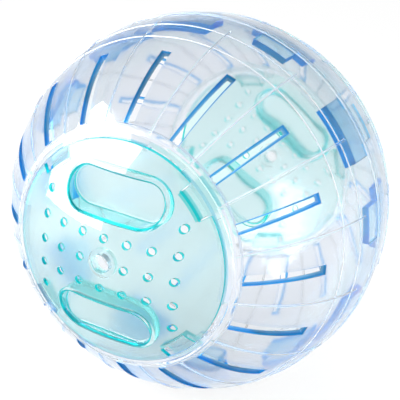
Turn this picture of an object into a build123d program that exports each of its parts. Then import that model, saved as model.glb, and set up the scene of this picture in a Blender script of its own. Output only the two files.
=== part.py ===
"""Clear hamster ball: two half shells clipped at the seam, each with a twist-lock door at its pole.

Millimetres. The origin is the ball's centre, the doors face -Y (front) and +Y (back), and +Z is up.
Each piece is drawn with its door axis along +Z, its finger wells in line with +X, and then laid in place.
"""
import os
from math import acos, asin, cos, degrees, hypot, radians, sin, sqrt, tan

from build123d import *

# Half shell
BALL_RADIUS = 90.0          # outer surface
SHELL_WALL = 2.0
SEAM_GAP = 0.3              # between the rims of the two halves
RIM_HEIGHT = 2.75           # raised band along each rim
BEAD_PROUD = 0.4            # how far the bands and round beads stand out of the shell
RING_WIDTH = 1.0
RIB_WIDTH = 1.1
RIB_PROUD = 0.5             # ribs pass over the rings
RIB_SINK = 0.2              # depth in the wall at which a rib is as wide as it gets
RIB_COUNT = 16              # ribs that run from the collar towards the seam
RIB_FOOT = 16.4             # height of their lower ends above the seam
RING_HEIGHTS = (32.0, 20.3)  # rings round the half, above the seam

# Vent slots, one between each two ribs
SLOT_LENGTH = 38.8          # along the curve of the shell
SLOT_MOUTH = 4.8            # width at the outer surface
SLOT_DRAFT = 20.0           # degrees by which the sides lean in from the door axis
SLOT_SLOPE = 1.5            # how much shorter a slot is inside, at the end towards the seam
SLOT_MARGIN = 1.5           # from the collar to the start of a slot

# Seam tongues, which slip inside the rim of the other half
TONGUE_COUNT = 6            # on each half
TONGUE_SPAN = 18.3          # degrees
TONGUE_THICK = 2.6
TONGUE_REACH = 17.0         # past the seam
TONGUE_CLEARANCE = 0.3
LEAD_LENGTH = 4.5           # slope on the outside of a tongue's end, which guides it into the other half
LEAD_DROP = 1.3
ROOT_SPAN = 11.0            # degrees, foot that joins a tongue to its own half
ROOT_HEIGHT = 11.0          # above the seam
ROOT_INSET = 0.2            # how much thinner the foot is than the tongue, on each face
ROOT_LAP = 2.75             # how far the foot runs into the tongue
FRONT_RIB_TURN = 37.5       # degrees from the front finger wells to a rib
FRONT_TONGUE_TURN = 41.0    # degrees from the front finger wells to a tongue
TONGUE_STEP = 32.0          # degrees from a front tongue to the next back one
BACK_DOOR_TURN = 30.0       # degrees from the front door's upright to the back door's

# Collar round the door opening, with the ledge that carries the door
COLLAR_WIDTH = 4.3
COLLAR_BEAD = 1.9
LEDGE_WIDTH = 2.4
LEDGE_THICK = 1.6
STOP_SPAN = 3.0             # degrees, lug that stops a tab when the door is locked

# Door
DOOR_RADIUS = 49.25
DOOR_WALL = 1.8
DOOR_GAP = 0.35             # round the edge of the door
DOOR_SEAT = 0.3             # under the edge of the door, and over its tabs
AXLE_RADIUS = 4.0
BOSS_RADIUS = 6.3
BOSS_DEPTH = 2.4            # below the plate of the door
VENT_RADIUS = 1.8
VENT_COLUMN = 10.45         # pitch across the finger wells
VENT_ROW = 11.2             # pitch along the finger wells' line
VENT_MARGIN = 1.5           # from a vent hole to the boss, the wells and the tabs
WELL_LENGTH = 44.2
WELL_WIDTH = 17.6
WELL_MARGIN = 5.6           # from the wall of a well to the ledge
WELL_DEPTH = 2.8            # at the outer corners of a well, where it is shallowest
WELL_LIP = 0.8              # rounding of a well's mouth
WELL_CORNER = 1.2           # rounding along a well's floor

# Twist lock
TAB_COUNT = 4
TAB_SPAN = 17.5             # degrees
TAB_THICK = 1.6
TAB_GRIP = 2.8              # how far a tab reaches past the edge of the ledge
TAB_THROAT = 2.7            # from the step of a tab to the ledge
TAB_SIDE = 0.5              # degrees, from a tab to the sides of its window in the door
NOTCH_SIDE = 1.6            # degrees, from a tab to the sides of its notch
NOTCH_CLEARANCE = 0.4       # from the end of a tab to the notch
UNLOCK_TURN = 26.0          # degrees
STOP_SIDE = 0.4             # degrees, from a locked tab to its stop

# Fits
inner_radius = BALL_RADIUS - SHELL_WALL
seam_height = SEAM_GAP / 2
bead_radius = BALL_RADIUS + BEAD_PROUD
rib_radius = BALL_RADIUS + RIB_PROUD
opening = DOOR_RADIUS + DOOR_GAP
collar_edge = opening + COLLAR_WIDTH
bead_edge = collar_edge - COLLAR_BEAD
ledge_edge = opening - LEDGE_WIDTH
door_inside = BALL_RADIUS - DOOR_WALL
door_middle = BALL_RADIUS - DOOR_WALL / 2
ledge_top = door_inside - DOOR_SEAT
ledge_bottom = ledge_top - LEDGE_THICK
tab_top = ledge_bottom - DOOR_SEAT
tab_bottom = tab_top - TAB_THICK
tab_end = ledge_edge + TAB_GRIP
tab_step = ledge_edge - TAB_THROAT
tab_back = tab_step - DOOR_WALL
notch_end = tab_end + NOTCH_CLEARANCE
wall_middle = BALL_RADIUS - SHELL_WALL / 2
rib_pitch = 360 / RIB_COUNT
slot_turn = rib_pitch / 2
tongue_pitch = 360 / TONGUE_COUNT
tab_pitch = 360 / TAB_COUNT
first_tab = tab_pitch / 2
back_rib_turn = -FRONT_RIB_TURN - BACK_DOOR_TURN        # in line with the front ribs
back_tongue_turn = TONGUE_STEP - FRONT_TONGUE_TURN - BACK_DOOR_TURN
well_pitch = 180            # degrees, one finger well opposite the other
well_round = WELL_WIDTH / 2
well_straight = WELL_LENGTH / 2 - well_round            # half of a well's straight side
well_reach = ledge_edge - WELL_MARGIN - DOOR_WALL       # outermost point of a well's mouth
well_offset = sqrt((well_reach - well_round) ** 2 - well_straight ** 2)
well_floor = sqrt(BALL_RADIUS ** 2 - well_reach ** 2) - WELL_DEPTH
beyond = 2 * SHELL_WALL     # how far a cutter runs past the wall
hair = 1e-4                 # how exactly a point has to lie on a surface


def at(radius, angle):
    """Point of the XZ plane at a distance from the ball's centre, turned from the door axis."""
    return Vector(radius * sin(angle), 0, radius * cos(angle))


def reach_angle(radius, reach):
    """Turn from the door axis where a sphere is as far as reach from that axis."""
    return asin(reach / radius)


def height_angle(radius, height):
    """Turn from the door axis where a sphere stands at a height above the seam."""
    return acos(height / radius)


def arc(radius, start, end):
    """Arc about the ball's centre in the XZ plane."""
    return ThreePointArc(at(radius, start), at(radius, (start + end) / 2), at(radius, end))


def outline(*edges):
    """Closed face of the XZ plane, with straight edges put where the given arcs don't meet."""
    closed = []
    for edge, after in zip(edges, edges[1:] + edges[:1]):
        closed.append(edge)
        if (edge @ 1 - after @ 0).length > hair:
            closed.append(Line(edge @ 1, after @ 0))
    return make_face(closed)


def sector(face, middle, span):
    """Solid swept round the door axis by an outline, spread evenly about a middle angle."""
    return Rot(Z=middle - span / 2) * revolve(face, Axis.Z, span)


def ring(copies, pitch, start, make):
    """Copies of what make draws, turned about the door axis from a start angle."""
    return [Rot(Z=start + pitch * index) * make for index in range(copies)]


def bead(start, end):
    """Rounded outside of a bead that stands out of the shell between two angles."""
    return ThreePointArc(at(BALL_RADIUS, start), at(bead_radius, (start + end) / 2), at(BALL_RADIUS, end))


def shoulder(angle):
    """Quarter round from the shell up to the rim band, which starts at an angle."""
    turn = radians(45)
    rise = BEAD_PROUD * sin(turn)
    middle = at(BALL_RADIUS + rise, angle + (BEAD_PROUD - rise) / BALL_RADIUS)
    return ThreePointArc(at(BALL_RADIUS, angle), middle, at(bead_radius, angle + BEAD_PROUD / BALL_RADIUS))


def shell_outline():
    """Half section of a half shell: wall, rings, rim band, collar and ledge."""
    half_width = RING_WIDTH / 2 / BALL_RADIUS
    edges = []
    last = reach_angle(BALL_RADIUS, opening)
    beads = [(reach_angle(BALL_RADIUS, bead_edge), reach_angle(BALL_RADIUS, collar_edge))]
    for height in RING_HEIGHTS:
        middle = height_angle(BALL_RADIUS, height)
        beads.append((middle - half_width, middle + half_width))
    for start, end in beads:
        edges += [arc(BALL_RADIUS, last, start), bead(start, end)]
        last = end
    rim = height_angle(BALL_RADIUS, RIM_HEIGHT)
    edges += [arc(BALL_RADIUS, last, rim), shoulder(rim)]
    edges.append(arc(bead_radius, rim + BEAD_PROUD / BALL_RADIUS, height_angle(bead_radius, seam_height)))
    edges.append(arc(inner_radius, height_angle(inner_radius, seam_height),
                     reach_angle(inner_radius, collar_edge)))
    edges.append(arc(ledge_bottom, reach_angle(ledge_bottom, collar_edge),
                     reach_angle(ledge_bottom, ledge_edge)))
    edges.append(arc(ledge_top, reach_angle(ledge_top, ledge_edge), reach_angle(ledge_top, opening)))
    return outline(*edges)


def rib():
    """Rounded rib down the outside of the shell, from the collar to its foot."""
    half = RIB_WIDTH / 2
    side = BALL_RADIUS - RIB_SINK
    crown = ThreePointArc((side, -half), (rib_radius, 0), (side, half))
    sides = Polyline((side, half), (wall_middle, half), (wall_middle, -half), (side, -half))
    start = reach_angle(BALL_RADIUS, (bead_edge + collar_edge) / 2)
    end = height_angle(BALL_RADIUS, RIB_FOOT)
    first = make_face([crown, sides]).rotate(Axis.Y, degrees(start) - 90)
    return revolve(first, Axis.Y, degrees(end - start))


def slot():
    """Cutter for one vent slot: sides that lean in from the door axis, and a sloping end towards the seam."""
    half = SLOT_MOUTH / 2
    drop = SLOT_MOUTH / tan(radians(SLOT_DRAFT))    # over which a side crosses the whole mouth
    start = reach_angle(BALL_RADIUS, collar_edge + SLOT_MARGIN)
    end = start + SLOT_LENGTH / BALL_RADIUS
    mouth = arc(BALL_RADIUS, start - beyond / BALL_RADIUS, end + beyond / BALL_RADIUS)
    top = BALL_RADIUS + drop
    roof = Line(Vector((mouth @ 1).X, 0, top), Vector((mouth @ 0).X, 0, top))
    groove = outline(mouth, roof)
    run = hypot(SLOT_MOUTH, drop)
    left = Pos(0, half, 0) * extrude(groove, run, dir=(0, -SLOT_MOUTH, -drop))
    right = Pos(0, -half, 0) * extrude(groove, run, dir=(0, SLOT_MOUTH, -drop))
    low = inner_radius - beyond
    high = BALL_RADIUS + beyond
    slope = SLOT_SLOPE / SHELL_WALL / BALL_RADIUS
    ends = outline(
        arc(low, start, end - slope * (BALL_RADIUS - low)),
        arc(high, end + slope * (high - BALL_RADIUS), start),
    )
    return left & right & extrude(ends, SLOT_MOUTH, both=True)


def tongue():
    """Tongue inside the rim of the other half, on a foot that joins it to its own wall."""
    outer = inner_radius - TONGUE_CLEARANCE
    inner = outer - TONGUE_THICK
    tip = outer - LEAD_DROP
    lead = height_angle(outer, LEAD_LENGTH - TONGUE_REACH)
    blade = outline(
        arc(inner, height_angle(inner, -TONGUE_REACH), height_angle(inner, 0)),
        arc(outer, height_angle(outer, 0), lead),
        Line(at(outer, lead), at(tip, height_angle(tip, -TONGUE_REACH))),
    )
    foot_in = inner + ROOT_INSET
    foot_out = outer - ROOT_INSET
    foot = outline(
        arc(foot_in, height_angle(foot_in, -ROOT_LAP), height_angle(foot_in, ROOT_HEIGHT)),
        arc(wall_middle, height_angle(wall_middle, ROOT_HEIGHT), height_angle(wall_middle, seam_height)),
        arc(foot_out, height_angle(foot_out, seam_height), height_angle(foot_out, -ROOT_LAP)),
    )
    return sector(blade, 0, TONGUE_SPAN) + sector(foot, 0, ROOT_SPAN)


def tab_notch():
    """Cutter for the notch in the ledge that a tab drops through."""
    low = tab_bottom
    high = BALL_RADIUS + beyond
    face = outline(
        arc(low, reach_angle(low, tab_step), reach_angle(low, notch_end)),
        arc(high, reach_angle(high, notch_end), reach_angle(high, tab_step)),
    )
    return sector(face, UNLOCK_TURN, TAB_SPAN + 2 * NOTCH_SIDE)


def tab_stop():
    """Lug under the ledge that a locked tab comes up against."""
    inside = (ledge_bottom + ledge_top) / 2
    edge = ledge_edge + LEDGE_WIDTH / 4         # set back from the edge of the ledge
    face = outline(
        arc(tab_bottom, reach_angle(tab_bottom, edge), reach_angle(tab_bottom, tab_end)),
        arc(inside, reach_angle(inside, tab_end), reach_angle(inside, edge)),
    )
    return sector(face, -(TAB_SPAN + STOP_SPAN) / 2 - STOP_SIDE, STOP_SPAN)


def half_shell(rib_turn, tongue_turn):
    """Half shell with a rib and a tongue at their angles from the finger wells' line."""
    wall_start = rib_turn - rib_pitch + slot_turn / 2   # between a rib and a slot, clear of the tongues
    body = Rot(Z=wall_start) * revolve(shell_outline(), Axis.Z, 360)
    body += ring(RIB_COUNT, rib_pitch, rib_turn, rib())
    body += ring(TONGUE_COUNT, tongue_pitch, tongue_turn, tongue())
    body += ring(TAB_COUNT, tab_pitch, first_tab, tab_stop())
    body -= ring(RIB_COUNT, rib_pitch, rib_turn + slot_turn, slot())
    body -= ring(TAB_COUNT, tab_pitch, first_tab, tab_notch())
    return body


def door_cap():
    """Domed plate of the door, flush with the ball."""
    face = outline(
        arc(BALL_RADIUS, 0, reach_angle(BALL_RADIUS, DOOR_RADIUS)),
        arc(door_inside, reach_angle(door_inside, DOOR_RADIUS), 0),
    )
    return Rot(Z=first_tab / 2) * revolve(face, Axis.Z, 360)


def well_gap(x, y):
    """Distance of a place on the door from the mouth of the nearer finger well, below 0 inside it."""
    return hypot(abs(x) - well_offset, max(abs(y) - well_straight, 0)) - well_round


def well_edges(body, depth):
    """Edges of a door round the walls of its finger wells, where the depth of their points is nil."""
    def fits(point):
        return abs(well_gap(point.X, point.Y)) < hair and abs(depth(point)) < hair

    return [edge for edge in body.edges() if all(fits(edge @ place) for place in (0, 0.5, 1))]


def well_prism(margin, floor):
    """Upright prism over one finger well, widened all round by a margin."""
    mouth = SlotOverall(WELL_LENGTH + 2 * margin, WELL_WIDTH + 2 * margin, rotation=90)
    return Pos(well_offset, 0, floor) * extrude(mouth, BALL_RADIUS + beyond - floor)


def tab():
    """Tab of the twist lock: a step down from the plate and a tongue that goes under the ledge."""
    face = outline(
        arc(tab_bottom, reach_angle(tab_bottom, tab_back), reach_angle(tab_bottom, tab_end)),
        arc(tab_top, reach_angle(tab_top, tab_end), reach_angle(tab_top, tab_step)),
        arc(door_middle, reach_angle(door_middle, tab_step), reach_angle(door_middle, tab_back)),
    )
    return sector(face, 0, TAB_SPAN)


def tab_window():
    """Cutter for the window in the edge of the door above a tab."""
    high = BALL_RADIUS + beyond
    edge = DOOR_RADIUS + beyond
    face = outline(
        arc(tab_top, reach_angle(tab_top, tab_step), reach_angle(tab_top, edge)),
        arc(high, reach_angle(high, edge), reach_angle(high, tab_step)),
    )
    return sector(face, 0, TAB_SPAN + 2 * TAB_SIDE)


def vent_fits(x, y):
    """Whether a vent hole at a place clears the boss, the wells and the tabs."""
    room = VENT_RADIUS + VENT_MARGIN
    return BOSS_RADIUS + room <= hypot(x, y) <= tab_back - room and well_gap(x, y) >= DOOR_WALL + room


def vent_places():
    """Places of the vent holes: a grid about the axle, as far as they fit."""
    rows = int(DOOR_RADIUS / VENT_ROW)
    columns = int(DOOR_RADIUS / VENT_COLUMN)
    grid = [(VENT_ROW * row, VENT_COLUMN * column)
            for row in range(-rows, rows + 1) for column in range(-columns, columns + 1)]
    return [place for place in grid if vent_fits(*place)]


def door():
    """Twist-lock door with two finger wells, an axle boss, vent holes and four tabs."""
    boss_foot = door_inside - BOSS_DEPTH
    boss = Pos(0, 0, boss_foot) * extrude(Circle(BOSS_RADIUS), door_middle - boss_foot)
    cup = well_prism(DOOR_WALL, well_floor - DOOR_WALL) & Sphere(door_middle)
    hollow = well_prism(0, well_floor)
    drill = extrude(Circle(AXLE_RADIUS), BALL_RADIUS + beyond)
    vent = extrude(Circle(VENT_RADIUS), BALL_RADIUS + beyond)
    body = door_cap() - ring(TAB_COUNT, tab_pitch, first_tab, tab_window())
    body += [boss] + ring(2, well_pitch, 0, cup) + ring(TAB_COUNT, tab_pitch, first_tab, tab())
    body -= [drill] + ring(2, well_pitch, 0, hollow) + [Pos(x, y, 0) * vent for x, y in vent_places()]
    body = fillet(well_edges(body, lambda point: point.Z - well_floor), WELL_CORNER)
    return fillet(well_edges(body, lambda point: point.length - BALL_RADIUS), WELL_LIP)


front = Plane(origin=(0, 0, 0), x_dir=(0, 0, 1), z_dir=(0, -1, 0)).location
back_up = radians(BACK_DOOR_TURN)
back = Plane(origin=(0, 0, 0), x_dir=(sin(back_up), 0, cos(back_up)), z_dir=(0, 1, 0)).location
door_moulding = door()
nodes = {
    "front_half_shell": front * half_shell(FRONT_RIB_TURN, FRONT_TONGUE_TURN),
    "back_half_shell": back * half_shell(back_rib_turn, back_tongue_turn),
    "front_door": front * door_moulding,
    "back_door": back * door_moulding,
}

os.makedirs("parts", exist_ok=True)
for name, shape in nodes.items():
    export_step(shape, f"parts/{name}.step")
    print(name, len(shape.solids()), "solid", round(shape.volume / 1000, 2), "cm3")
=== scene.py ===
"""Looks of a clear hamster ball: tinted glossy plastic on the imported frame, in a plain white studio."""

import logging
import math
from dataclasses import dataclass
from enum import Enum
from typing import Any, Union

import bpy
from mathutils import Matrix, Vector


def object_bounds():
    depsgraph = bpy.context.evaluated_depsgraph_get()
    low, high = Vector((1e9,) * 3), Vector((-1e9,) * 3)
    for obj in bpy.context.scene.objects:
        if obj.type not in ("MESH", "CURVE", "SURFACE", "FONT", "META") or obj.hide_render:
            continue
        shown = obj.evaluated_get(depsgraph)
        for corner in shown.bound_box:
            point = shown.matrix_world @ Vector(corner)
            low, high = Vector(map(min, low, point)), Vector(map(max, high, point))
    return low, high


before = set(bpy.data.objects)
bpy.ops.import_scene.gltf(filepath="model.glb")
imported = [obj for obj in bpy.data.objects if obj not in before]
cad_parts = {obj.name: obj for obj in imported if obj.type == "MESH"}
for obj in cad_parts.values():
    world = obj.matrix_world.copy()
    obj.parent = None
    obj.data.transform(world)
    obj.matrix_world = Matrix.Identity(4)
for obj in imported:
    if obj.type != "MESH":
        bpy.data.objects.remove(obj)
cad_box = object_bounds()

log = logging.getLogger("hamster_ball")
MM = 0.001

Colour = tuple[float, float, float, float]
Span = tuple[float, float]
Number = Union["Wire", float]

WHITE: Colour = (1, 1, 1, 1)


class Plastic(Enum):
    """The tinted plastics of the ball."""

    SHELL = "pale blue"
    FRONT_DOOR = "mint, front"
    BACK_DOOR = "mint, back"


class Fade(float, Enum):
    """How softly the edge of a mask fades, in millimetres."""

    HAIR = 0.05
    FINE = 0.1
    SOFT = 0.2
    BROAD = 0.3
    WIDE = 1.0


class Wire:
    """One output socket, whose arithmetic adds Math nodes."""

    def __init__(self, bench: "Bench", socket: bpy.types.NodeSocket) -> None:
        """Keep the socket and the bench that it belongs to."""
        self.bench = bench
        self.socket = socket

    def __add__(self, other: Number) -> "Wire":
        """Sum."""
        return self.bench.math("ADD", self, other)

    __radd__ = __add__

    def __sub__(self, other: Number) -> "Wire":
        """Difference."""
        return self.bench.math("SUBTRACT", self, other)

    def __rsub__(self, other: Number) -> "Wire":
        """Difference, from a number."""
        return self.bench.math("SUBTRACT", other, self)

    def __mul__(self, other: Number) -> "Wire":
        """Product."""
        return self.bench.math("MULTIPLY", self, other)

    __rmul__ = __mul__

    def __abs__(self) -> "Wire":
        """Size without its sign."""
        return self.bench.math("ABSOLUTE", self)

    def above(self, edge: float, fade: float) -> "Wire":
        """Soft step up.

        Args:
            edge: Value at which the step starts to rise from 0.
            fade: How far past the edge it has reached 1.

        Returns:
            The step, between 0 and 1.
        """
        return self.bench.wire("Result", "ShaderNodeMapRange", {"interpolation_type": "SMOOTHSTEP"},
                               {"Value": self, "From Min": edge, "From Max": edge + fade})

    def below(self, edge: float, fade: float) -> "Wire":
        """Soft step down, from 1 at an edge to 0 past its fade."""
        return 1 - self.above(edge, fade)

    def within(self, low: float, high: float, fade: float) -> "Wire":
        """1 between two values, with fades inside them."""
        return self.above(low, fade) * self.below(high - fade, fade)

    def near(self, middle: float, reach: float, fade: float) -> "Wire":
        """1 about a value, with fades inside its reach on both sides."""
        return self.within(middle - reach, middle + reach, fade)

    def either(self, other: "Wire") -> "Wire":
        """The larger of two masks."""
        return self.bench.math("MAXIMUM", self, other)


class Bench:
    """A node tree on which a finish is put together."""

    def __init__(self, tree: bpy.types.NodeTree) -> None:
        """Empty the tree."""
        self.tree = tree
        tree.nodes.clear()

    def add(self, kind: str, settings: dict[str, Any], sockets: dict[Any, Any]) -> bpy.types.Node:
        """Add one node.

        Args:
            kind: Blender's name of the node's type.
            settings: The node's own properties, set first.
            sockets: Values or wires for its inputs, by name or number.

        Returns:
            The node.
        """
        node = self.tree.nodes.new(kind)
        for name, value in settings.items():
            setattr(node, name, value)
        for key, value in sockets.items():
            if isinstance(value, Wire):
                self.tree.links.new(value.socket, node.inputs[key])
            else:
                node.inputs[key].default_value = value
        return node

    def wire(self, output: Any, kind: str, settings: dict[str, Any], sockets: dict[Any, Any]) -> Wire:
        """Add one node and take one of its outputs.

        Args:
            output: Name or number of the output.
            kind: Blender's name of the node's type.
            settings: The node's own properties, set first.
            sockets: Values or wires for its inputs, by name or number.

        Returns:
            That output.
        """
        return Wire(self, self.add(kind, settings, sockets).outputs[output])

    def math(self, operation: str, *values: Number) -> Wire:
        """Result of a Math node on one or two values."""
        return self.wire(0, "ShaderNodeMath", {"operation": operation}, dict(enumerate(values)))

    def vector(self, operation: str, output: str, *values: Wire) -> Wire:
        """Result of a Vector Math node."""
        return self.wire(output, "ShaderNodeVectorMath", {"operation": operation}, dict(enumerate(values)))

    def noise(self, spot: Wire, scale: float, detail: float) -> Wire:
        """Soft random pattern over the surface."""
        return self.wire("Fac", "ShaderNodeTexNoise", {}, {"Vector": spot, "Scale": scale, "Detail": detail})

    def blend(self, share: Wire, first: Any, second: Any) -> Wire:
        """Colour between two colours.

        Args:
            share: How much of the second colour, from 0 to 1.
            first: Colour or wire at 0.
            second: Colour or wire at 1.

        Returns:
            The mixed colour.
        """
        factor, colour_a, colour_b, result = 0, 6, 7, 2     # the colour sockets among the node's others
        return self.wire(result, "ShaderNodeMix", {"data_type": "RGBA"},
                         {factor: share, colour_a: first, colour_b: second})

    def layer(self, share: Number, first: Wire, second: Wire) -> Wire:
        """Surface between two shaders, by the share of the second one."""
        return self.wire(0, "ShaderNodeMixShader", {}, {0: share, 1: first, 2: second})


class Place:
    """Where a point of a moulding lies, in millimetres of the ball's own frame."""

    skin_facing: float = 0.55       # how squarely a skin faces out from the ball's centre, or in to it
    skin_fade: float = 0.38

    def __init__(self, bench: Bench) -> None:
        """Read the point's place and the way its surface faces."""
        spot = bench.add("ShaderNodeTexCoord", {}, {})
        self.bench = bench
        self.spot = Wire(bench, spot.outputs["Object"])
        facing = bench.vector("DOT_PRODUCT", "Value", bench.vector("NORMALIZE", "Vector", self.spot),
                              Wire(bench, spot.outputs["Normal"]))
        split = bench.add("ShaderNodeSeparateXYZ", {}, {0: self.spot})
        self.x, self.y, self.z = (Wire(bench, split.outputs[axis]) * (1 / MM) for axis in "XYZ")
        self.reach = bench.vector("LENGTH", "Value", self.spot) * (1 / MM)
        self.off_axis = bench.math("SQRT", self.x * self.x + self.z * self.z)
        self.along = abs(self.y)
        self.cut = abs(facing).below(self.skin_facing, self.skin_fade)


@dataclass(frozen=True)
class Look:
    """What varies over a plastic's surface."""

    tint: Wire
    # share and colour of a rough layer on cut edges, whose colour is painted edge glow
    frost_and_glow: Wire
    painted_glow_tint: Wire
    # share of an opaque white layer, a painted highlight
    painted_highlight: Number


@dataclass(frozen=True)
class ClearPlastic:
    """Clear tinted plastic, polished on its skins and duller on its cut edges, where the colour of that
    rough layer is painted edge glow, with a layer of painted white highlight on top.
    """

    name: str
    body: Colour
    inner: float = 88.0             # millimetres from the ball's centre
    outer: float = 90.0
    ior: float = 1.49
    roughness: float = 0.012
    haze: float = 0.08              # added roughness of the inner skin
    wear_roughness: float = 0.05
    wear_scale: float = 900.0
    wear_detail: float = 3.0
    wear_height: float = 0.002
    wear_start: float = 0.5         # of the pattern, from which the wear shows
    wear_fade: float = 0.4
    swell_scale: float = 62.0       # slow waves of the inner skin
    swell_detail: float = 0.5
    swell_strength: float = 0.22
    frost_roughness: float = 0.5
    frost_ior: float = 1.05
    # white of the layer of painted highlight
    painted_highlight_white: Colour = (0.96, 0.97, 0.98, 1)

    def look(self, place: Place) -> Look:
        """Tints, frosting with painted edge glow, and painted white highlight over the surface."""
        raise NotImplementedError

    def edges(self, place: Place) -> Wire:
        """Walls that are cut through the plastic, between its skins."""
        return place.reach.within(self.inner + Fade.HAIR, self.outer - Fade.HAIR, Fade.FINE)

    def clear(self, place: Place, tint: Wire) -> Wire:
        """Polished see-through plastic, with faint wear and a wavy, hazy inner skin.

        Args:
            place: Where the point lies.
            tint: Colour of the plastic.

        Returns:
            The shader.
        """
        bench = place.bench
        wear = bench.noise(place.spot, self.wear_scale, self.wear_detail)
        swell = bench.noise(place.spot, self.swell_scale, self.swell_detail)
        inside = place.reach.below(self.inner, Fade.SOFT) * (1 - place.cut)
        height = swell * inside + wear * self.wear_height
        bump = bench.wire("Normal", "ShaderNodeBump", {},
                          {"Height": height, "Strength": self.swell_strength, "Distance": MM})
        worn = wear.above(self.wear_start, self.wear_fade)
        return bench.wire(0, "ShaderNodeBsdfPrincipled", {}, {
            "Base Color": tint,
            "Roughness": self.roughness + worn * self.wear_roughness + inside * self.haze,
            "IOR": self.ior,
            "Transmission Weight": 1.0,
            "Normal": bump,
        })

    def make(self) -> bpy.types.Material:
        """Put the plastic together.

        Returns:
            The material.
        """
        material = bpy.data.materials.new(self.name)
        material.use_nodes = True
        bench = Bench(material.node_tree)
        place = Place(bench)
        look = self.look(place)
        # rough layer, coloured with painted edge glow where the look asks for it
        frosted_glow = bench.wire(0, "ShaderNodeBsdfPrincipled", {}, {
            "Base Color": look.painted_glow_tint,
            "Roughness": self.frost_roughness,
            "IOR": self.frost_ior,
            "Transmission Weight": 1.0,
        })
        # opaque white layer, a painted highlight
        painted_highlight_shader = bench.wire(0, "ShaderNodeBsdfPrincipled", {}, {
            "Base Color": self.painted_highlight_white,
            "Roughness": self.frost_roughness,
        })
        surface = bench.layer(look.frost_and_glow, self.clear(place, look.tint), frosted_glow)
        surface = bench.layer(look.painted_highlight, surface, painted_highlight_shader)
        bench.add("ShaderNodeOutputMaterial", {}, {"Surface": surface})
        return material


@dataclass(frozen=True)
class ShellPlastic(ClearPlastic):
    """Pale blue plastic of the half shells, with painted blue edge glow on the walls of the slots and the
    ends of the seam tongues, and deeper blue in the tongues.
    """

    # Tints; the blues of cut walls are painted edge glow, and white is painted light on the collar and ribs
    blue: Colour = (0.001, 0.17, 0.82, 1)
    light_blue: Colour = (0.06, 0.40, 0.90, 1)
    azure: Colour = (0.004, 0.35, 0.96, 1)
    tongue_blue: Colour = (0.46, 0.77, 0.985, 1)
    edge_blue: Colour = (0.58, 0.76, 0.97, 1)
    mouth_blue: Colour = (0.50, 0.80, 0.97, 1)
    pale_blue: Colour = (0.70, 0.86, 0.985, 1)
    white: Colour = (0.97, 0.98, 1.0, 1)

    # Distances from the door axis, in millimetres
    opening: float = 49.6
    opening_reach: float = 0.15
    ledge: float = 50.6
    brim: float = 53.0
    collar: float = 54.4

    # Heights from the seam, in millimetres
    slot_foot: float = 31.0
    tongue_tip: float = 17.0
    tongue_lead: float = 4.5
    rim_face: float = 0.4

    # Flanks of the ribs and rings, above the outer skin, where white highlights are painted
    flank: Span = (0.04, 0.38)

    # Deeper colour where the wall is seen at a slant
    slant_blend: float = 0.5
    slant_start: float = 0.45
    slant_fade: float = 0.55

    # Shares of frosting, whose colour is painted edge glow on cut walls and white on the collar, and of
    # painted white highlight
    slot_frost_glow: float = 0.95
    end_frost_glow: float = 0.9
    lead_frost_glow: float = 0.75
    ledge_frost: float = 0.9
    brim_frost: float = 0.45
    rim_frost: float = 0.5
    collar_painted_highlight: float = 0.04
    rib_painted_highlight: float = 0.29

    def look(self, place: Place) -> Look:
        """Painted blue edge glow on slot walls and tongue ends, a collar whitened with painted light, pale
        rims, and painted white highlights on the flanks of the ribs and rings.
        """
        bench = place.bench
        past_collar = place.off_axis.above(self.collar, Fade.BROAD)
        slot = self.edges(place) * past_collar * place.along.above(self.slot_foot, Fade.WIDE)
        slot_inside = slot * place.reach.below(self.inner + Fade.BROAD, Fade.WIDE)
        ring = place.off_axis.below(self.collar - Fade.SOFT, Fade.SOFT)
        collar = ring * place.reach.below(self.outer - Fade.FINE, Fade.HAIR)
        mouth = collar * place.cut * place.off_axis.near(self.opening, self.opening_reach, Fade.HAIR)
        ledge = collar * place.off_axis.below(self.ledge, Fade.SOFT)
        brim = collar * place.off_axis.above(self.brim, Fade.BROAD)
        tongue_height = place.along.below(self.tongue_tip + Fade.SOFT, Fade.SOFT)
        tongue = place.reach.below(self.inner - Fade.FINE, Fade.HAIR) * tongue_height
        lead = tongue * place.along.above(self.tongue_tip - self.tongue_lead, Fade.BROAD)
        end = tongue * place.cut
        rim = place.along.below(self.rim_face, Fade.FINE) * place.cut
        low, high = self.flank
        flank = place.reach.within(self.outer + low, self.outer + high, Fade.HAIR)
        facing = bench.wire("Facing", "ShaderNodeLayerWeight", {}, {"Blend": self.slant_blend})
        slant = facing.above(self.slant_start, self.slant_fade)

        tint = bench.blend(slant, self.body, self.edge_blue)
        tint = bench.blend(tongue, tint, self.tongue_blue)
        # painted light: the collar's tint is whitened so that light crossing its many walls does not darken
        tint = bench.blend(ring, tint, self.white)
        # painted edge glow: deep blues on slot walls, the door opening and tongue ends; white on the collar
        # and rib flanks
        painted_glow_tint = bench.blend(collar.either(flank), self.pale_blue, self.white)
        painted_glow_tint = bench.blend(slot, painted_glow_tint, bench.blend(slot_inside, self.blue, self.light_blue))
        painted_glow_tint = bench.blend(mouth, painted_glow_tint, self.mouth_blue)
        painted_glow_tint = bench.blend(end.either(lead), painted_glow_tint, self.azure)
        frost_and_glow = (slot * self.slot_frost_glow).either(end * self.end_frost_glow).either(lead * self.lead_frost_glow)
        frost_and_glow = frost_and_glow.either(ledge * self.ledge_frost).either(brim * self.brim_frost)
        frost_and_glow = frost_and_glow.either(rim * self.rim_frost)
        # painted white highlight on the flanks of ribs and rings, stronger away from the collar
        painted_highlight = flank * (self.collar_painted_highlight + (1 - ring) * self.rib_painted_highlight)
        return Look(tint, frost_and_glow, painted_glow_tint, painted_highlight)


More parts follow.
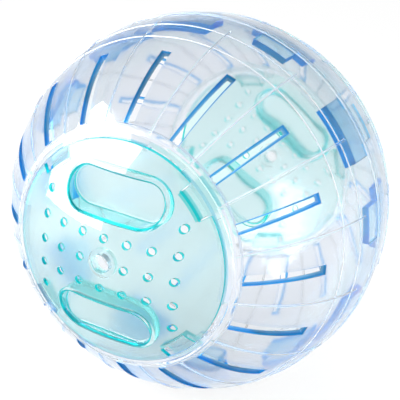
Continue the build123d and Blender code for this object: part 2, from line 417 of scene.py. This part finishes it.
@dataclass(frozen=True)
class DoorPlastic(ClearPlastic):
    """Mint plastic of a door, with painted cyan edge glow along the rims of its wells, in its vents and at
    its tabs.
    """

    inner: float = 88.2
    haze: float = 0.2
    turn: float = 0.0               # degrees from the ball's upright to the door's

    # Tints; cyan and light_cyan are painted edge glow
    cyan: Colour = (0.001, 0.62, 0.62, 1)
    light_cyan: Colour = (0.22, 0.89, 0.88, 1)
    pale: Colour = (0.84, 0.98, 0.97, 1)

    # Finger wells, in millimetres
    well_offset: float = 28.0
    well_straight: float = 13.3
    well_round: float = 8.8
    well_lip: float = 0.8
    well_lip_depth: float = 1.1
    well_corner: float = 1.2
    well_floor: float = 77.92
    well_wall: float = 1.8
    well_foot: float = 0.6

    # Distances from the door axis, in millimetres
    hole: float = 4.0
    boss: float = 6.3
    tabs: float = 41.0

    # Shares of frosting, whose colour is painted edge glow, and of colour
    edge_frost_glow: float = 0.95
    line_frost_glow: float = 0.85
    boss_frost: float = 0.8
    hole_frost: float = 0.2
    corner_line: float = 0.06
    foot_line: float = 0.85
    step_pale: float = 0.15

    def well_gap(self, place: Place) -> Wire:
        """Distance from the mouth of the nearer finger well, below 0 inside it.

        Args:
            place: Where the point lies.

        Returns:
            The distance in millimetres, seen along the door axis.
        """
        bench = place.bench
        turn = math.radians(self.turn)
        up = place.x * math.sin(turn) + place.z * math.cos(turn)
        across = place.x * math.cos(turn) - place.z * math.sin(turn)
        beside = bench.math("MAXIMUM", abs(across) - self.well_straight, 0.0)
        over = abs(up) - self.well_offset
        return bench.math("SQRT", beside * beside + over * over) - self.well_round

    def well_lines(self, place: Place, gap: Wire) -> Wire:
        """Lines of painted cyan edge glow round a finger well: its lip, the corner of its floor and the foot
        of its cup.

        Args:
            place: Where the point lies.
            gap: Distance from the mouth of the well.

        Returns:
            The mask of the lines.
        """
        lip = gap.within(-Fade.SOFT, self.well_lip + Fade.FINE, Fade.FINE)
        lip = lip * place.reach.above(self.outer - self.well_lip_depth, Fade.BROAD)
        corner = gap.within(-self.well_corner, Fade.BROAD, Fade.BROAD)
        corner = corner * place.along.below(self.well_floor + self.well_corner, Fade.BROAD)
        foot = gap.within(self.well_wall - self.well_foot, self.well_wall + Fade.SOFT, Fade.FINE)
        foot = foot * place.along.below(self.well_floor - self.well_wall + self.well_foot, Fade.WIDE)
        return lip.either(corner * self.corner_line).either(foot * self.foot_line)

    def look(self, place: Place) -> Look:
        """Painted cyan edge glow round the wells, in the vents, at the tabs and along the edge."""
        bench = place.bench
        gap = self.well_gap(place)
        line = self.well_lines(place, gap)
        near_well = gap.below(self.well_wall + Fade.FINE, Fade.SOFT)
        near_boss = place.off_axis.below(self.boss + Fade.SOFT, Fade.FINE)
        cup = gap.near(self.well_wall, Fade.BROAD, Fade.FINE)
        cup = cup * place.reach.below(self.inner - Fade.BROAD, Fade.SOFT)
        hole = place.off_axis.below(self.hole + Fade.FINE, Fade.FINE) * place.cut
        boss_wall = place.off_axis.near(self.boss, Fade.FINE, Fade.HAIR) * place.cut
        under_plate = place.reach.below(self.inner, Fade.FINE)
        tab = place.cut * place.off_axis.above(self.tabs, Fade.BROAD) * under_plate
        edge = (self.edges(place) * (1 - near_well) * (1 - near_boss)).either(tab)
        step = edge * place.reach.below(self.inner - Fade.WIDE, Fade.WIDE)
        pale = near_well.either(near_boss) * place.cut

        tint = bench.blend(pale, self.body, self.pale)
        # painted edge glow: cyan on the well cups and lines
        tint = bench.blend(cup, tint, self.light_cyan)
        tint = bench.blend(line, tint, self.cyan)
        pale_frost = boss_wall.either(hole).either(step * self.step_pale)
        # the rough layer's cyan on the edges and lines is painted edge glow
        painted_glow_tint = bench.blend(pale_frost, self.cyan, self.pale)
        frost_and_glow = (edge * self.edge_frost_glow).either(line * self.line_frost_glow)
        frost_and_glow = frost_and_glow.either(boss_wall * self.boss_frost).either(hole * self.hole_frost)
        return Look(tint, frost_and_glow, painted_glow_tint, painted_highlight=0.0)


PALE_BLUE: Colour = (0.88, 0.905, 0.94, 1)
MINT: Colour = (0.74, 0.94, 0.93, 1)
BACK_DOOR_TURN = 30.0
FINISHES = {
    Plastic.SHELL: ShellPlastic("shell_plastic_clear", PALE_BLUE),
    Plastic.FRONT_DOOR: DoorPlastic("front_door_plastic_clear", MINT),
    Plastic.BACK_DOOR: DoorPlastic("back_door_plastic_clear", MINT, turn=BACK_DOOR_TURN),
}


@dataclass(frozen=True)
class Moulding:
    """One moulded piece of the ball."""

    node: str
    plastic: Plastic

    def dress(self, materials: dict[Plastic, bpy.types.Material]) -> None:
        """Give the piece its plastic.

        Args:
            materials: The material of each plastic.
        """
        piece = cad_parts[self.node]
        for slot in piece.material_slots:
            slot.material = materials[self.plastic]
        log.info("dressed %s in %s", self.node, self.plastic.value)


def towards(azimuth: float, elevation: float) -> Vector:
    """Unit vector out from the ball.

    Args:
        azimuth: Degrees from -Y towards +X.
        elevation: Degrees above the floor.

    Returns:
        The direction.
    """
    turn, rise = math.radians(azimuth), math.radians(elevation)
    return Vector((math.sin(turn) * math.cos(rise), -math.cos(turn) * math.cos(rise), math.sin(rise)))


@dataclass(frozen=True)
class Lamp:
    """Soft lamp that faces the ball, with its angles in degrees and its sizes in metres."""

    name: str
    azimuth: float
    elevation: float
    power: float
    shows: bool                     # in gloss and through clear plastic
    distance: float = 0.6
    size: Span = (0.50, 0.54)

    def hang(self) -> None:
        """Hang the lamp."""
        light = bpy.data.lights.new(self.name, "AREA")
        light.shape = "RECTANGLE"
        light.size, light.size_y = self.size
        light.energy = self.power
        lamp = bpy.data.objects.new(self.name, light)
        bpy.context.scene.collection.objects.link(lamp)
        out = towards(self.azimuth, self.elevation)
        lamp.location = out * self.distance
        lamp.rotation_euler = (-out).to_track_quat("-Z", "Y").to_euler()
        lamp.visible_glossy = self.shows
        lamp.visible_transmission = self.shows
        log.info("hung %s", self.name)


@dataclass(frozen=True)
class Studio:
    """Plain pale floor, soft light, white surroundings and the camera."""

    floor_radius: float = 4.0
    floor_sides: int = 96
    floor_colour: Colour = (0.9, 0.9, 0.9, 1)
    floor_glow: float = 0.8         # how much of the floor shows as plain white

    softbox: Lamp = Lamp("softbox", azimuth=-47.0, elevation=17.0, power=10.0, shows=True)
    fill: Lamp = Lamp("fill", azimuth=62.0, elevation=18.0, power=3.5, shows=False)

    # What gloss mirrors of the surroundings, from the floor up
    low_grey: Colour = (0.9, 0.9, 0.9, 1)
    high_grey: Colour = (0.35, 0.36, 0.38, 1)
    grey_start: float = 0.05
    grey_fade: float = 0.45

    camera_azimuth: float = 24.39
    camera_elevation: float = 22.44
    camera_roll: float = 7.33
    camera_distance: float = 0.4642
    camera_angle: float = 23.668
    camera_clip: Span = (0.01, 50.0)

    wall_bounces: int = 36          # light crosses many clear walls
    gloss_bounces: int = 24

    @staticmethod
    def seen(bench: Bench) -> Wire:
        """1 for rays that show the surroundings: from the camera, off gloss or through clear plastic.

        Args:
            bench: Where the nodes are put.

        Returns:
            The mask of those rays.
        """
        path = bench.add("ShaderNodeLightPath", {}, {})
        kinds = ("Is Camera Ray", "Is Glossy Ray", "Is Transmission Ray")
        camera, glossy, transmitted = (Wire(bench, path.outputs[kind]) for kind in kinds)
        return bench.math("MINIMUM", camera + glossy + transmitted, 1.0)

    def lay_floor(self) -> None:
        """Lay the floor just under the ball."""
        low = cad_box[0].z
        bpy.ops.mesh.primitive_circle_add(vertices=self.floor_sides, radius=self.floor_radius,
                                          fill_type="NGON", location=(0, 0, low))
        floor = bpy.context.object
        floor.name = "floor"
        material = bpy.data.materials.new("floor_white")
        material.use_nodes = True
        bench = Bench(material.node_tree)
        matt = bench.wire(0, "ShaderNodeBsdfDiffuse", {}, {"Color": self.floor_colour})
        glow = bench.wire(0, "ShaderNodeEmission", {}, {"Color": WHITE, "Strength": 1.0})
        surface = bench.layer(self.seen(bench) * self.floor_glow, matt, glow)
        bench.add("ShaderNodeOutputMaterial", {}, {"Surface": surface})
        floor.data.materials.append(material)

    def surround(self) -> None:
        """Set up white surroundings, which gloss mirrors as pale grey walls under a darker ceiling."""
        world = bpy.data.worlds.new("surroundings")
        bpy.context.scene.world = world
        world.use_nodes = True
        bench = Bench(world.node_tree)
        direction = bench.wire("Generated", "ShaderNodeTexCoord", {}, {})
        height = bench.wire("Z", "ShaderNodeSeparateXYZ", {}, {0: direction})
        mirrored = bench.blend(height.above(self.grey_start, self.grey_fade), self.low_grey, self.high_grey)
        glossy = bench.wire("Is Glossy Ray", "ShaderNodeLightPath", {}, {})
        sky = bench.wire(0, "ShaderNodeBackground", {},
                         {"Color": bench.blend(glossy, WHITE, mirrored), "Strength": 1.0})
        bench.add("ShaderNodeOutputWorld", {}, {"Surface": sky})

    def aim(self) -> None:
        """Set up the camera at the photograph's view."""
        lens = bpy.data.cameras.new("camera")
        lens.angle = math.radians(self.camera_angle)
        lens.clip_start, lens.clip_end = self.camera_clip
        camera = bpy.data.objects.new("camera", lens)
        bpy.context.scene.collection.objects.link(camera)
        back = towards(self.camera_azimuth, self.camera_elevation)
        level = Vector((0, 0, 1)).cross(back).normalized()
        upright = back.cross(level)
        roll = math.radians(self.camera_roll)
        right = level * math.cos(roll) + upright * math.sin(roll)
        up = back.cross(right)
        pose = Matrix((right, up, back)).transposed().to_4x4()
        pose.translation = back * self.camera_distance
        camera.matrix_world = pose
        bpy.context.scene.camera = camera

    def settle(self) -> None:
        """Let light pass all the walls of the ball."""
        scene = bpy.context.scene
        scene.view_settings.view_transform = "Standard"
        scene.cycles.max_bounces = self.wall_bounces
        scene.cycles.transmission_bounces = self.wall_bounces
        scene.cycles.glossy_bounces = self.gloss_bounces

    def build(self) -> None:
        """Set up the whole studio."""
        self.lay_floor()
        self.softbox.hang()
        self.fill.hang()
        self.surround()
        self.aim()
        self.settle()
        log.info("studio ready")


def main() -> None:
    """Dress the pieces and set up the studio."""
    logging.basicConfig(level=logging.INFO)
    materials = {plastic: finish.make() for plastic, finish in FINISHES.items()}
    for piece in (
        Moulding("front_half_shell", Plastic.SHELL),
        Moulding("back_half_shell", Plastic.SHELL),
        Moulding("front_door", Plastic.FRONT_DOOR),
        Moulding("back_door", Plastic.BACK_DOOR),
    ):
        piece.dress(materials)
    Studio().build()


if __name__ == "__main__":
    main()
